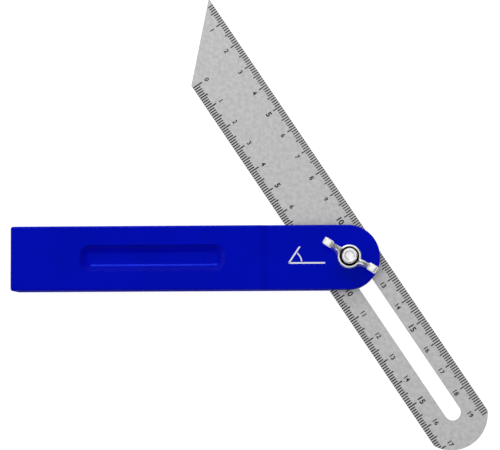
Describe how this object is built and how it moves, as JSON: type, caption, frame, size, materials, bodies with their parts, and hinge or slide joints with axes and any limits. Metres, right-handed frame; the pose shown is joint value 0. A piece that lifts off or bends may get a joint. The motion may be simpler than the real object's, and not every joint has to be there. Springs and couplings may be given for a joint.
{
  "type": "sliding bevel",
  "caption": "Sliding bevel with a slotted, graduated steel blade that swings and slides in a moulded handle and locks with a wing nut.",
  "frame": {"origin": "on the pivot's axis, in the plane of the handle's flat back", "axes": "+Z out of the wing nut's side along the pivot's axis, -X from the pivot to the handle's butt, +Y to the side that the blade's point stands on"},
  "size_m": [0.1839, 0.1766, 0.0294],
  "materials": {
    "handle": "moulded, semi-gloss royal blue",
    "screws": "bright zinc plated",
    "inserts": "plain pressed steel",
    "blade": "satin stainless steel with dark graduations",
    "washers": "smooth spring steel",
    "bolt": "bright zinc plated",
    "wing_nut": "cast, bright zinc plated"
  },
  "bodies": {
    "handle": {"front_shell": "handle", "back_shell": "handle", "shell_screws": "screws", "nut_seat": "inserts", "neck_plate": "inserts"},
    "swivel": {"blade_washer_front": "washers", "blade_washer_back": "washers"},
    "blade": {"blade": "blade"},
    "bolt": {"pivot_bolt": "bolt"},
    "nut": {"wing_nut": "wing_nut"}
  },
  "joints": [
    {"name": "blade_swing", "type": "hinge", "parent": "handle", "child": "swivel", "pos_m": [0, 0, 0.0085], "axis": [0, 0, 1], "range_deg": [-291, 44]},
    {"name": "blade_slide", "type": "slide", "parent": "swivel", "child": "blade", "axis": [0.5534, -0.8329, 0], "range_m": [-0.0718, 0.0077]},
    {"name": "nut_turn", "type": "hinge", "parent": "handle", "child": "nut", "pos_m": [0, 0, 0.016], "axis": [0, 0, 1], "range_deg": [0, 360]},
    {"name": "bolt_travel", "type": "slide", "parent": "handle", "child": "bolt", "axis": [0, 0, -1], "range_m": [0, 0.001]}
  ],
  "couplings": [
    {"joint": "bolt_travel", "follows": "nut_turn", "m_per_rad": 0.00015915}
  ]
}
